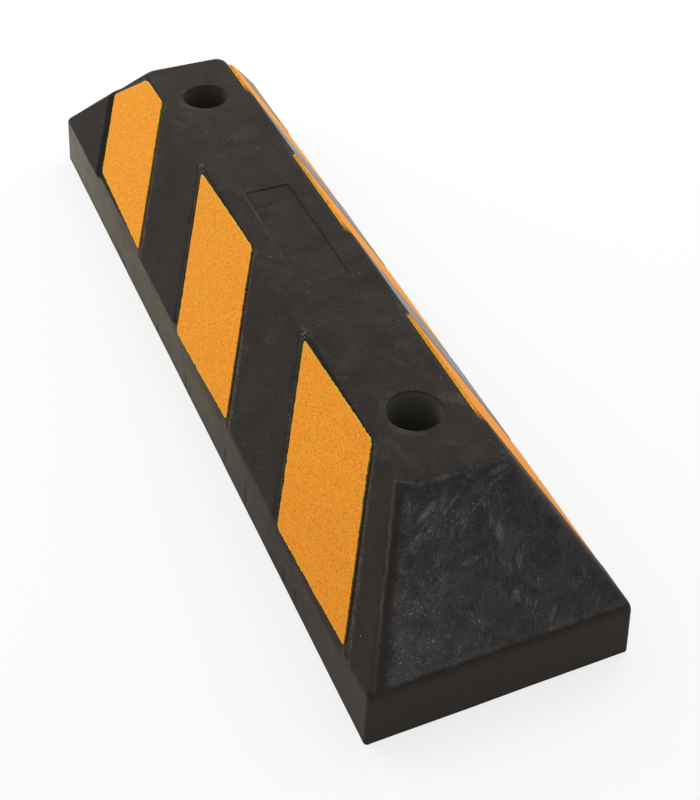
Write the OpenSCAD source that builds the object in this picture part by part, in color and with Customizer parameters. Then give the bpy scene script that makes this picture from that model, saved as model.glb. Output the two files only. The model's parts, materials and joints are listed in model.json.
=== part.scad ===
// Rubber wheel stop: one moulded block with reflective strips laid in slanted pockets on its long sides.
// The origin is at the middle of the underside, X runs along the block and Z points up.

/* [Block] */
// Length of the block at the floor
block_l = 550; // [500:5:620]
// Width of the block at the floor
block_w = 148; // [130:1:180]
// Height of the block
block_h = 98; // [85:1:120]
// Height of the steep base walls
base_h = 34; // [25:1:45]
// How far the base walls lean in over their height
base_draft = 1.8; // [0.5:0.1:4]
// Length of the flat top, to where its edges would be if they were sharp
top_l = 416; // [385:1:470]
// Width of the flat top, to where its edges would be if they were sharp
top_w = 60; // [50:1:80]
// Radius of the upright corners at the floor
foot_r = 2; // [0.5:0.5:6]
// Radius of the corners at the top of the base walls, where the hips start
hip_r = 3; // [1:0.5:8]
// Radius of the flat top's corners, seen from above
top_r = 6; // [3:0.5:12]
// Radius of the edge all round the flat top
edge_r = 4; // [1:0.5:6]

/* [Fixing holes] */
// Distance between the middles of the two holes
hole_pitch = 325; // [260:5:340]
// Diameter of the wide upper part, which takes the bolt head and its spanner
head_d = 29; // [22:0.5:34]
// Depth of the wide upper part
head_depth = 60; // [35:1:70]
// Diameter of the bolt hole below it
bolt_d = 16; // [10:0.5:20]

/* [Strips] */
// Distance from the middle of one strip to the middle of the next
strip_pitch = 170; // [150:1:180]
// Width of a strip along the block
strip_w = 88; // [70:1:100]
// Thickness of a strip
strip_t = 0.8; // [0.4:0.1:1.2]
// Angle between a strip's sides and a line straight up the slope
strip_lean = 41; // [20:1:45]
// Angle at which a strip's ends rise along the block
strip_rise = 2; // [0:0.5:4]
// How far the row of strips is set off the middle of the block
strip_shift = -7; // [-12:1:5]
// Angle between the cut corner of the first strip and a line straight up the slope
cut_lean = 46; // [42:1:50]
// Distance along the top from the block's hip to that cut
cut_gap = 9.5; // [6:0.5:14]
// How far the first strip's far foot corner lies above the edge of the base wall
first_foot = 4.9; // [0:0.1:8]
// Angle at which the first strip's foot falls along the block from there
first_fall = 2.2; // [0:0.1:3]

/* [Pockets] */
// Depth of a pocket below the face of the long side
pocket_depth = 2.2; // [1.6:0.1:4]
// Width of the sloping wall along each side of a pocket
pocket_ramp = 4.5; // [1:0.5:6]
// Gap between a strip's sides and the foot of the pocket's walls
side_gap = 0.3; // [0.1:0.1:1]
// Gap between a strip's ends and the edges that the pocket runs out over
end_gap = 0.3; // [0.1:0.1:1]

/* [Label recess] */
// Length of the blank recess on the top
label_l = 96; // [60:1:140]
// Width of the recess
label_w = 28; // [18:1:36]
// Depth of the recess
label_depth = 0.6; // [0.3:0.1:2]
// Radius of the recess's corners
label_r = 2; // [0.5:0.5:5]

/* [Hidden] */
strip_count = 3;
over = 5;        // how far a cutter reaches past the surface that it opens
sliver = 0.01;   // thickness of the outlines that the block is drawn through
edge_steps = 5;  // outlines in the rounded edge of the top

// The long side's face, from the top of the base wall to the flat top
side_base_y = block_w / 2 - base_draft;
side_rise = block_h - base_h;
side_run = side_base_y - top_w / 2;
side_l = sqrt(side_rise * side_rise + side_run * side_run);
side_slope = atan2(side_rise, side_run);
wall_slope = atan2(base_h, base_draft);
end_slope = atan2(side_rise, block_l / 2 - base_draft - top_l / 2);

// The outer face of a strip, and where it would meet the base wall and the flat top
strip_depth = pocket_depth - strip_t;
strip_low = -strip_depth / tan(wall_slope - side_slope) + end_gap;
strip_high = side_l + strip_depth / tan(side_slope) - end_gap;
strip_step = strip_w * tan(strip_rise) / (1 + tan(strip_rise) * tan(strip_lean));
strip_across = strip_w * cos(strip_lean);

// Half the length or width of the block a turn of the rounded top edge down from the flat top
function edge_drop(turn) = edge_r * (1 - cos(turn));
function edge_half(half, slope, turn) = turn < slope
    ? half - edge_r * tan(slope / 2) + edge_r * sin(turn)
    : half + edge_drop(turn) / tan(slope);

// Middle of a strip along the block, and the place of a strip's side at a height up the slope
function strip_mid(number) = strip_shift + (number - (strip_count + 1) / 2) * strip_pitch;
function strip_side_x(middle, up) = middle - tan(strip_lean) * (up - side_l / 2);

module outline(length, width, radius, z) {
    translate([0, 0, z])
        linear_extrude(sliver)
            offset(r = radius, $fn = 32)
                square([length - 2 * radius, width - 2 * radius], center = true);
}

module blank() {
    hull() {
        outline(block_l, block_w, foot_r, 0);
        outline(block_l - 2 * base_draft, block_w - 2 * base_draft, hip_r, base_h);
        for (step = [0 : edge_steps]) {
            turn = side_slope * step / edge_steps;
            outline(
                2 * edge_half(top_l / 2, end_slope, turn),
                2 * edge_half(top_w / 2, side_slope, turn),
                top_r,
                block_h - edge_drop(turn) - sliver
            );
        }
    }
}

// Lays its children on the front face: X along the block, Y up the slope, Z out of the face
module on_front() {
    translate([0, -side_base_y, base_h]) rotate([side_slope, 0, 0]) children();
}

module pocket(number) {
    foot = strip_across / 2 + side_gap;
    mouth = foot + pocket_ramp * (pocket_depth + over) / pocket_depth;
    on_front()
        translate([strip_mid(number), side_l / 2, 0])
            rotate([0, 0, strip_lean])
                rotate([90, 0, 0])
                    linear_extrude(2 * side_l, center = true)
                        polygon([[-foot, -pocket_depth], [foot, -pocket_depth], [mouth, over], [-mouth, over]]);
}

module fixing_hole() {
    translate([0, 0, -over]) cylinder(h = block_h - head_depth + 2 * over, d = bolt_d, $fn = 64);
    translate([0, 0, block_h - head_depth]) cylinder(h = head_depth + over, d = head_d, $fn = 96);
}

module label_recess() {
    translate([0, 0, block_h - label_depth])
        linear_extrude(label_depth + over)
            offset(r = label_r, $fn = 32)
                square([label_l - 2 * label_r, label_w - 2 * label_r], center = true);
}

module body() {
    color([0.2, 0.19, 0.18])
        difference() {
            blank();
            for (number = [1 : strip_count]) {
                pocket(number);
                mirror([0, 1, 0]) pocket(number);
            }
            for (side = [-1, 1]) translate([side * hole_pitch / 2, 0, 0]) fixing_hole();
            label_recess();
        }
}

module strip_outline(number) {
    far = strip_mid(number) - strip_w / 2;
    near = strip_mid(number) + strip_w / 2;
    difference() {
        polygon([
            [strip_side_x(far, strip_low), strip_low],
            [strip_side_x(near, strip_low + strip_step), strip_low + strip_step],
            [strip_side_x(near, strip_high), strip_high],
            [strip_side_x(far, strip_high - strip_step), strip_high - strip_step]
        ]);
        if (number == 1) {
            hip_cut();
            foot_cut();
        }
    }
}

// Everything beyond the cut that keeps the first strip inside the hip at the far end
module hip_cut() {
    translate([cut_gap - top_l / 2, side_l])
        rotate(90 - cut_lean)
            translate([-side_l, 0]) square([2 * side_l, side_l]);
}

// Everything below the foot of the first strip, which stops short of the base wall
module foot_cut() {
    far = strip_mid(1) - strip_w / 2;
    translate([strip_side_x(far, first_foot), first_foot])
        rotate(-first_fall)
            translate([-side_l, -side_l]) square([4 * side_l, side_l]);
}

module front_strip(number) {
    color([0.96, 0.62, 0.16])
        on_front()
            translate([0, 0, -pocket_depth]) linear_extrude(strip_t) strip_outline(number);
}

module back_strip(number) {
    mirror([0, 1, 0]) front_strip(number);
}

body();
for (number = [1 : strip_count]) {
    front_strip(number);
    back_strip(number);
}
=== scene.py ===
import json
import math
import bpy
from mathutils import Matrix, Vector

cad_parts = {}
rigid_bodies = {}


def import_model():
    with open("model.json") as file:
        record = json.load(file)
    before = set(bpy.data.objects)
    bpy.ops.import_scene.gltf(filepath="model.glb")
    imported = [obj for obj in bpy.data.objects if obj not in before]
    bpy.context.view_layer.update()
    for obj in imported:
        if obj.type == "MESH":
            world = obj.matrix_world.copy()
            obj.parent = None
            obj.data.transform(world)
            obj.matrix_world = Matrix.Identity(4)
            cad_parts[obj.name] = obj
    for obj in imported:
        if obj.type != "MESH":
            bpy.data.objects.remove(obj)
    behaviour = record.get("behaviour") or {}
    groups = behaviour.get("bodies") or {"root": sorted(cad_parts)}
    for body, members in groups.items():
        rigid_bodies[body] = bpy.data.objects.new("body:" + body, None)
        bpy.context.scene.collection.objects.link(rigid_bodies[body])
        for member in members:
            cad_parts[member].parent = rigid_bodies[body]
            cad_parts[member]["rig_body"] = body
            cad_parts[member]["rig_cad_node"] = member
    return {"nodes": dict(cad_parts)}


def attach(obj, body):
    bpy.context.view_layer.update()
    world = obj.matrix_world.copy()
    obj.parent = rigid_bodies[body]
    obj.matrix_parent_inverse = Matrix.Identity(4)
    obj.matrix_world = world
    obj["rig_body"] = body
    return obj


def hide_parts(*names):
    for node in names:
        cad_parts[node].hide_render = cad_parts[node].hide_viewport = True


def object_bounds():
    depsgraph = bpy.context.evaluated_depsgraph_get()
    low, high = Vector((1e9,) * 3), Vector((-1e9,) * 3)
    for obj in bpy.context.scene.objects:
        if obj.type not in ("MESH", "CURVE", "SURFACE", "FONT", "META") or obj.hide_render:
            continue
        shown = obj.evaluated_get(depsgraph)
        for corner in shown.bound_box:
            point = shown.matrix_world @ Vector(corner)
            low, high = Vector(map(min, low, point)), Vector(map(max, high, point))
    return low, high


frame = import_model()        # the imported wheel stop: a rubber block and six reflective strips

from types import SimpleNamespace

import bmesh
import bpy
from mathutils import Matrix, Vector, noise

cadLow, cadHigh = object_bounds()
print("frame loaded, CAD box", [round(side, 4) for side in cadHigh - cadLow])

# Small helpers


def pickPiece(piece):
    bpy.ops.object.select_all(action="DESELECT")
    piece.select_set(True)
    bpy.context.view_layer.objects.active = piece


def startEdit(piece, mode="FACE"):
    pickPiece(piece)
    bpy.ops.object.mode_set(mode="EDIT")
    bpy.ops.mesh.select_mode(type=mode)


def endEdit():
    bpy.ops.object.mode_set(mode="OBJECT")


def selectWhere(piece, kind, test):
    bpy.ops.mesh.select_mode(type=kind)
    bpy.ops.mesh.select_all(action="DESELECT")
    mesh = bmesh.from_edit_mesh(piece.data)
    if kind == "VERT":
        for vert in mesh.verts:
            vert.select = test(vert.co)
    elif kind == "EDGE":
        for edge in mesh.edges:
            edge.select = all(test(vert.co) for vert in edge.verts)
    else:
        for face in mesh.faces:
            face.select = test(face.calc_center_median(), face.normal)
    mesh.select_flush_mode()
    bmesh.update_edit_mesh(piece.data)


def faceOutwards():
    bpy.ops.mesh.select_all(action="SELECT")
    bpy.ops.mesh.normals_make_consistent(inside=False)


def applyModifier(piece, kind, **settings):
    pickPiece(piece)
    modifier = piece.modifiers.new(kind.lower(), kind)
    for name, value in settings.items():
        setattr(modifier, name, value)
    bpy.ops.object.modifier_apply(modifier=modifier.name)


def applyPlace(piece):
    pickPiece(piece)
    bpy.ops.object.transform_apply(location=True, rotation=True, scale=True)


def removePiece(piece):
    bpy.data.objects.remove(piece, do_unlink=True)


def softStep(low, high, value):
    share = min(1, max(0, (value - low) / (high - low)))
    return share * share * (3 - 2 * share)


# The rubber block

block = {
    "baseHeight": 0.034,     # top of the steep walls
    "draft": 0.0018,         # how far those walls lean in
    "topLength": 0.416,      # flat top, to where its edges would be if sharp
    "topWidth": 0.060,
    "footRadius": 0.002,     # upright corners at the floor
    "hipRadius": 0.003,      # corners at the top of the walls, where the hips start
    "topRadius": 0.006,      # corners of the flat top, seen from above
    "cornerSteps": 8,
    "edgeRadius": 0.004,     # rounded edge of the flat top
    "edgeSteps": 6,
    "shoulder": 0.0024,      # soft edge between walls and slopes
    "footEdge": 0.0006,
    "softSteps": 4,          # steps in those two
    "settle": 0.018,         # height on the walls from which they are pulled down under the pockets
    "sliceX": 0.005,         # spacing of the cuts that let the faces be uneven
    "sliceY": 0.006,
    "sliceZ": 0.006,
    "sliceWeld": 0.0004,     # a cut this close to a point goes through it
    "uneven": 0.00022,       # depth of the moulding's slow waves
    "waves": ((22, 0.5), (75, 0.25)),    # their scales and shares
    "wavesFrom": (0.05, 0.02, 0.01),     # distance along, across and up over which they set in
    "sharpAngle": math.radians(32),      # edges sharper than this aren't shaded smooth
}
pocket = {
    "pitch": 0.170,
    "shift": -0.007,
    "stripWidth": 0.088,
    "lean": math.radians(41),
    "depth": 0.0022,
    "sideGap": 0.0003,
    "farRamp": 0.0044,       # sloping wall on the far side, across the stripe
    "nearRamp": 0.0045,
    # share of the ramp crossed, share of the depth kept: soft at the foot and at the crest
    "profile": [(-0.12, 1.0), (0.12, 0.94), (0.5, 0.5), (0.88, 0.06), (1.12, 0.0)],
}
groove = {
    "depth": 0.0005,
    "fade": 0.008,           # height over which it fades out towards the wall and the top
    "topGap": 0.002,
    "faceGap": 0.0008,       # a point this close to an end face's plane is on it
    # distance from the hip across the end face, share of the depth
    "profile": [(0.0008, 0.0), (0.0018, 0.8), (0.0026, 1.0), (0.0036, 0.7), (0.0052, 0.0)],
}

halfLength = (cadHigh.x - cadLow.x) / 2
halfWidth = (cadHigh.y - cadLow.y) / 2
blockHeight = cadHigh.z
baseTop = block["baseHeight"]
topEnd = block["topLength"] / 2
topSide = block["topWidth"] / 2
sideBase = halfWidth - block["draft"]
sideRun = sideBase - topSide
sideRise = blockHeight - baseTop
sideSlope = math.atan2(sideRise, sideRun)
sideLength = math.hypot(sideRun, sideRise)
endRun = halfLength - block["draft"] - topEnd
endSlope = math.atan2(sideRise, endRun)
wallSlope = math.atan2(baseTop, block["draft"])
slopeHigh = sideLength - block["edgeRadius"] * math.tan(sideSlope / 2)
slopeLow = block["shoulder"]
near = 1e-5


def topHalf(half, slope, turn):
    drop = block["edgeRadius"] * (1 - math.cos(turn))
    if turn < slope:
        return half - block["edgeRadius"] * (math.tan(slope / 2) - math.sin(turn))
    return half + drop / math.tan(slope)


def stripeX(middle, up):
    return middle - math.tan(pocket["lean"]) * (up - sideLength / 2)


def pocketMiddles():
    return [pocket["shift"] + (number - 1) * pocket["pitch"] for number in range(3)]


def pocketLines():
    # each crease of a pocket's ramps, as where it crosses the slope's mid height
    lines = []
    for middle in pocketMiddles():
        for end, ramp in ((-1, pocket["farRamp"]), (1, pocket["nearRamp"])):
            for share, _ in pocket["profile"]:
                across = pocket["sideGap"] + share * ramp
                lines.append(middle + end * (pocket["stripWidth"] / 2 + across / math.cos(pocket["lean"])))
    return lines


def pocketShare(x, up):
    # 1 on a pocket's floor, 0 on the face of the slope
    up = min(slopeHigh, max(slopeLow, up))
    for middle in pocketMiddles():
        offset = x - stripeX(middle, up)
        ramp = pocket["farRamp"] if offset < 0 else pocket["nearRamp"]
        across = (abs(offset) - pocket["stripWidth"] / 2) * math.cos(pocket["lean"]) - pocket["sideGap"]
        share = across / ramp
        stops = pocket["profile"]
        if share <= stops[0][0]:
            return 1
        for (low, keepLow), (high, keepHigh) in zip(stops, stops[1:]):
            if share < high:
                return keepLow + (keepHigh - keepLow) * (share - low) / (high - low)
    return 0


def reshapeRing(piece, level, ring, nextRing):
    # moves the four rounded corners of the ring at this height, and gives them their next radius
    halfX, halfY, radius = ring
    nextX, nextY, nextRadius = nextRing
    grow = nextRadius / radius
    inX = halfX - radius - nextX + nextRadius
    inY = halfY - radius - nextY + nextRadius
    for end in (-1, 1):
        for side in (-1, 1):
            def inCorner(co):
                return abs(co.z - level) < near and co.x * end > 0 and co.y * side > 0

            middle = (end * (halfX - radius), side * (halfY - radius), level)
            selectWhere(piece, "VERT", inCorner)
            bpy.ops.transform.resize(value=(grow, grow, 1), center_override=middle)
            bpy.ops.transform.translate(value=(-end * inX, -side * inY, 0))


def blankBlock():
    bpy.ops.mesh.primitive_plane_add(size=1, location=(0, 0, 0))
    piece = bpy.context.object
    piece.name = "rubberBlock"
    piece.scale = (2 * halfLength, 2 * halfWidth, 1)
    applyPlace(piece)
    startEdit(piece, "VERT")
    bpy.ops.mesh.select_all(action="SELECT")
    bpy.ops.mesh.bevel(
        affect="VERTICES", offset_type="OFFSET", offset=block["footRadius"], segments=block["cornerSteps"]
    )
    draft = block["draft"]
    rings = [(baseTop, (halfLength - draft, halfWidth - draft, block["hipRadius"]))]
    for step in range(block["edgeSteps"], -1, -1):
        turn = sideSlope * step / block["edgeSteps"]
        rings.append((
            blockHeight - block["edgeRadius"] * (1 - math.cos(turn)),
            (
                topHalf(topEnd, endSlope, turn),
                topHalf(topSide, sideSlope, turn),
                block["topRadius"],
            ),
        ))
    level, ring = 0, (halfLength, halfWidth, block["footRadius"])
    for nextLevel, nextRing in rings:
        selectWhere(piece, "FACE", lambda co, normal: abs(co.z - level) < near and abs(normal.z) > 0.99)
        bpy.ops.mesh.extrude_region_move(TRANSFORM_OT_translate={"value": (0, 0, nextLevel - level)})
        reshapeRing(piece, nextLevel, ring, nextRing)
        level, ring = nextLevel, nextRing
    faceOutwards()
    for height, soft in ((baseTop, block["shoulder"]), (0, block["footEdge"])):
        selectWhere(piece, "EDGE", lambda co: abs(co.z - height) < near)
        bpy.ops.mesh.bevel(affect="EDGES", offset_type="OFFSET", offset=soft, segments=block["softSteps"])
    endEdit()
    return piece


def cutCreases(piece):
    # the pockets' slanted creases on the slopes, and straight on over the edges above and below them
    lean = pocket["lean"]
    lowZ = baseTop + slopeLow * math.sin(sideSlope)
    highZ = baseTop + slopeHigh * math.sin(sideSlope)
    startEdit(piece)
    for side in (-1, 1):
        up = Vector((0, -side * math.cos(sideSlope), math.sin(sideSlope)))
        foot = Vector((0, side * sideBase, baseTop))
        plane = math.cos(lean) * Vector((1, 0, 0)) + math.sin(lean) * up

        def onSlope(co, normal):
            return lowZ < co.z < highZ and normal.y * side > 0.1

        def belowIt(co, normal):
            return co.z < lowZ and normal.y * side > 0.1

        def aboveIt(co, normal):
            return co.z > highZ and normal.y * side > 0.05

        for line in pocketLines():
            selectWhere(piece, "FACE", onSlope)
            bpy.ops.mesh.bisect(
                plane_co=foot + up * sideLength / 2 + Vector((line, 0, 0)), plane_no=plane, threshold=near
            )
            for faces, height in ((belowIt, slopeLow), (aboveIt, slopeHigh)):
                selectWhere(piece, "FACE", faces)
                bpy.ops.mesh.bisect(
                    plane_co=(stripeX(line, height), 0, 0), plane_no=(1, 0, 0), threshold=near
                )
    endEdit()


def hipFrames():
    # for the one hip of each end that is grooved: the corner of the top it starts from,
    # the way into the end face, and the face's normal
    for end in (-1, 1):
        side = -end
        start = Vector((end * topEnd, side * topSide, blockHeight))
        foot = Vector((end * (topEnd + endRun), side * sideBase, baseTop))
        normal = Vector((end * math.sin(endSlope), 0, math.cos(endSlope)))
        inwards = (foot - start).normalized().cross(normal)
        if inwards.y * side > 0:
            inwards = -inwards
        yield end, start, inwards, normal


def cutGrooves(piece):
    startEdit(piece)
    lowZ = baseTop + block["shoulder"]
    highZ = blockHeight - block["edgeRadius"] * (1 - math.cos(endSlope))
    for end, start, inwards, normal in hipFrames():
        for across, _ in groove["profile"]:
            selectWhere(piece, "FACE", lambda co, facing: lowZ < co.z < highZ and facing.x * end > 0.3)
            bpy.ops.mesh.bisect(plane_co=start + inwards * across, plane_no=inwards, threshold=near)
    endEdit()


def sinkGrooves(piece):
    # the shallow hollow beside a hip, fading out towards the top and the wall
    frames = list(hipFrames())
    stops = groove["profile"]
    for vert in piece.data.vertices:
        co = vert.co.copy()
        fade = softStep(baseTop, baseTop + groove["fade"], co.z)
        fade *= 1 - softStep(blockHeight - groove["fade"], blockHeight - groove["topGap"], co.z)
        for end, start, inwards, normal in frames:
            if co.x * end < 0 or abs((co - start).dot(normal)) > groove["faceGap"]:
                continue
            across = (co - start).dot(inwards)
            for (low, shareLow), (high, shareHigh) in zip(stops, stops[1:]):
                if low <= across < high:
                    share = shareLow + (shareHigh - shareLow) * (across - low) / (high - low)
                    vert.co -= normal * groove["depth"] * share * fade


def sliceUp(piece):
    # even cuts in all three directions, so that the faces can be a little uneven
    startEdit(piece)
    for axis, first, last, gap in (
        (0, -halfLength, halfLength, block["sliceX"]),
        (1, -halfWidth, halfWidth, block["sliceY"]),
        (2, 0, blockHeight - block["edgeRadius"], block["sliceZ"]),
    ):
        count = round((last - first) / gap)
        for number in range(1, count):
            place = [0, 0, 0]
            place[axis] = first + (last - first) * number / count
            normal = [0, 0, 0]
            normal[axis] = 1
            bpy.ops.mesh.select_all(action="SELECT")
            bpy.ops.mesh.bisect(plane_co=place, plane_no=normal, threshold=block["sliceWeld"])
    endEdit()


def sinkPockets(piece):
    inwards = pocket["depth"] / math.sin(sideSlope)
    down = pocket["depth"] / math.sin(wallSlope - sideSlope)
    lowZ = baseTop + slopeLow * math.sin(sideSlope) + near
    wallTop = baseTop - block["shoulder"] - near
    for vert in piece.data.vertices:
        co = vert.co
        side = 1 if co.y > 0 else -1
        up = (co.z - baseTop) / math.sin(sideSlope)
        reach = side * co.y + max(0, up) * math.cos(sideSlope) - sideBase
        if co.z < block["settle"] or reach < -block["topRadius"] - block["edgeRadius"]:
            continue
        share = pocketShare(co.x, up)
        if co.z < wallTop:
            share *= (co.z - block["settle"]) / (wallTop - block["settle"])
        if co.z > lowZ:
            co.y -= side * inwards * share
        else:
            co.y += side * down * math.cos(wallSlope) * share
            co.z -= down * math.sin(wallSlope) * share


def makeUneven(piece):
    fromX, fromY, fromZ = block["wavesFrom"]
    for vert in piece.data.vertices:
        co = vert.co
        wave = sum((share * noise.noise(co * scale) for scale, share in block["waves"]), 0.5)
        inside = block["uneven"] * max(0, wave)
        if co.z > near:
            co.z -= inside * softStep(0, fromZ, co.z)
        co.y -= math.copysign(inside, co.y) * softStep(0, fromY, abs(co.y))
        co.x -= math.copysign(inside, co.x) * softStep(0, fromX, abs(co.x))


rubberBlock = blankBlock()
print("blank block", len(rubberBlock.data.polygons), "faces")
cutCreases(rubberBlock)
cutGrooves(rubberBlock)
sliceUp(rubberBlock)
print("sliced block", len(rubberBlock.data.polygons), "faces")
sinkGrooves(rubberBlock)
sinkPockets(rubberBlock)
makeUneven(rubberBlock)

# Holes and the blank recess in the top

hole = {
    "pitch": 0.325,
    "headRadius": 0.0145,
    "headDepth": 0.060,
    "boltRadius": 0.008,
    "rim": 0.0005,
    "rimSteps": 4,
    "sides": 72,
    "over": 0.005,           # how far the cutter reaches past the block
}
label = {
    "length": 0.096,
    "width": 0.028,
    "depth": 0.0006,
    "corner": 0.002,
    "cornerSteps": 5,
    "rim": 0.0005,
}


def holeCutter(x):
    # a plug from its foot up: the bolt hole, the wide part, and a rim that flares out
    over = hole["over"]
    floor = blockHeight - hole["headDepth"]
    bpy.ops.mesh.primitive_circle_add(
        vertices=hole["sides"], radius=hole["boltRadius"], fill_type="NGON", location=(x, 0, -over)
    )
    piece = bpy.context.object
    applyPlace(piece)
    radius, level = hole["boltRadius"], -over
    steps = [(hole["boltRadius"], floor), (hole["headRadius"], floor)]
    for number in range(hole["rimSteps"] + 1):
        turn = math.pi / 2 * number / hole["rimSteps"]
        steps.append((
            hole["headRadius"] + hole["rim"] * (1 - math.cos(turn)),
            blockHeight - block["uneven"] - hole["rim"] * (1 - math.sin(turn)),
        ))
    steps.append((hole["headRadius"] + hole["rim"], blockHeight + over))
    startEdit(piece)
    bpy.ops.mesh.select_all(action="SELECT")
    for nextRadius, nextLevel in steps:
        bpy.ops.mesh.extrude_region_move(TRANSFORM_OT_translate={"value": (0, 0, nextLevel - level)})
        grow = nextRadius / radius
        bpy.ops.transform.resize(value=(grow, grow, 1), center_override=(x, 0, nextLevel))
        radius, level = nextRadius, nextLevel
    faceOutwards()
    endEdit()
    return piece


def labelCutter():
    floor = blockHeight - label["depth"] - block["uneven"]
    bpy.ops.mesh.primitive_plane_add(size=1, location=(0, 0, floor))
    piece = bpy.context.object
    piece.scale = (label["length"], label["width"], 1)
    applyPlace(piece)
    startEdit(piece, "VERT")
    bpy.ops.mesh.select_all(action="SELECT")
    bpy.ops.mesh.bevel(
        affect="VERTICES", offset_type="OFFSET", offset=label["corner"], segments=label["cornerSteps"]
    )
    bpy.ops.mesh.select_mode(type="FACE")
    bpy.ops.mesh.select_all(action="SELECT")
    rise = label["depth"] + 2 * block["uneven"]
    bpy.ops.mesh.extrude_region_move(TRANSFORM_OT_translate={"value": (0, 0, rise)})
    wide = (label["length"] + 2 * label["rim"]) / label["length"]
    deep = (label["width"] + 2 * label["rim"]) / label["width"]
    bpy.ops.transform.resize(value=(wide, deep, 1), center_override=(0, 0, blockHeight))
    faceOutwards()
    endEdit()
    return piece


for cutter in (holeCutter(-hole["pitch"] / 2), holeCutter(hole["pitch"] / 2), labelCutter()):
    applyModifier(rubberBlock, "BOOLEAN", operation="DIFFERENCE", solver="EXACT", object=cutter)
    removePiece(cutter)
pickPiece(rubberBlock)
bpy.ops.object.shade_smooth_by_angle(angle=block["sharpAngle"])
applyModifier(rubberBlock, "WEIGHTED_NORMAL", mode="FACE_AREA", weight=70, keep_sharp=True)
print("holes and recess cut,", len(rubberBlock.data.polygons), "faces")

# The reflective strips, each made from the outer face of the frame's own strip

strip = {
    "blunt": 0.0008,         # how far the corners are rubbed off
    "bluntReach": 0.0025,    # and how far from a corner that starts
    "bluntPower": 1.5,
    "band": 0.0014,          # edge band that frays and fades
    "longEdge": 0.01,        # cut edges longer than this get points along them
    "edgePoints": 150,
    "fray": 0.00062,
    "frayMean": 0.4,
    "frayVary": 1.3,
    "frayGrain": ((1500, 1), (350, 0.5)),
    "thickness": 0.0008,
    "backLift": 0.0011,      # the back strips lie nearly level with the slope, on a thicker backing
}


def raiseStrip(mesh, outwards, side, lift):
    # lifts an outer face off its pocket, with its ends drawn in to where the block's edges then are
    upwards = Vector((0, -side * math.cos(sideSlope), math.sin(sideSlope)))
    heights = [vert.co.dot(upwards) for vert in mesh.verts]
    low, high = min(heights), max(heights)
    lowIn = lift / math.tan(wallSlope - sideSlope)
    highIn = lift / math.tan(sideSlope)
    for vert, height in zip(mesh.verts, heights):
        share = (height - low) / (high - low)
        vert.co += outwards * lift + upwards * (lowIn * (1 - share) - highIn * share)


def keepOuterFace(piece, outwards):
    # merges the loose triangles, leaves the outer face and marks off a band inside its edges
    bpy.ops.mesh.select_all(action="SELECT")
    bpy.ops.mesh.remove_doubles(threshold=near)
    bpy.ops.mesh.dissolve_limited(angle_limit=math.radians(2))
    selectWhere(piece, "FACE", lambda co, normal: normal.dot(outwards) < 0.9)
    bpy.ops.mesh.delete(type="FACE")
    bpy.ops.mesh.select_all(action="SELECT")
    bpy.ops.mesh.dissolve_faces()
    bpy.ops.mesh.inset(thickness=strip["band"], depth=0)


def frayEdges(piece):
    # the cut edges get points along them, are drawn in unevenly and rubbed off at the corners
    mesh = bmesh.from_edit_mesh(piece.data)
    corners = [vert.co.copy() for vert in mesh.verts if vert.is_boundary]
    bpy.ops.mesh.select_mode(type="EDGE")
    bpy.ops.mesh.select_all(action="DESELECT")
    for edge in mesh.edges:
        edge.select = edge.is_boundary and edge.calc_length() > strip["longEdge"]
    mesh.select_flush_mode()
    bmesh.update_edit_mesh(piece.data)
    bpy.ops.mesh.subdivide(number_cuts=strip["edgePoints"])
    mesh = bmesh.from_edit_mesh(piece.data)
    middle = sum((vert.co for vert in mesh.verts), Vector()) / len(mesh.verts)
    edgeMark = mesh.verts.layers.float.new("cutEdge")
    for vert in mesh.verts:
        if vert.is_boundary:
            vert[edgeMark] = 1
            ragged = sum(share * noise.noise(vert.co * scale) for scale, share in strip["frayGrain"])
            frayed = strip["fray"] * max(0, strip["frayMean"] + ragged * strip["frayVary"])
            away = min((vert.co - corner).length for corner in corners) / strip["bluntReach"]
            rubbed = strip["blunt"] * max(0, 1 - away) ** strip["bluntPower"]
            vert.co += (middle - vert.co).normalized() * (frayed + rubbed)
    bmesh.update_edit_mesh(piece.data)


def stripPiece(node):
    pickPiece(frame["nodes"][node])
    bpy.ops.object.duplicate()
    piece = bpy.context.object
    piece.name = node + "_sheet"
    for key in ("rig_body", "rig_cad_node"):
        del piece[key]
    piece.parent = None
    side = -1 if node.startswith("front") else 1
    outwards = Vector((0, side * math.sin(sideSlope), math.cos(sideSlope)))
    startEdit(piece, "VERT")
    keepOuterFace(piece, outwards)
    lift = 0 if side < 0 else strip["backLift"]
    raiseStrip(bmesh.from_edit_mesh(piece.data), outwards, side, lift)
    frayEdges(piece)
    endEdit()
    bpy.ops.mesh.customdata_custom_splitnormals_clear()
    bpy.ops.object.shade_flat()
    applyModifier(piece, "SOLIDIFY", thickness=strip["thickness"] + lift, offset=-1)
    return piece


stripNodes = [f"{side}_strip_{number}" for side in ("front", "back") for number in (1, 2, 3)]
strips = {node: stripPiece(node) for node in stripNodes}
print("strips made,", sum(len(piece.data.polygons) for piece in strips.values()), "faces")

# Shader maths


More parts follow.
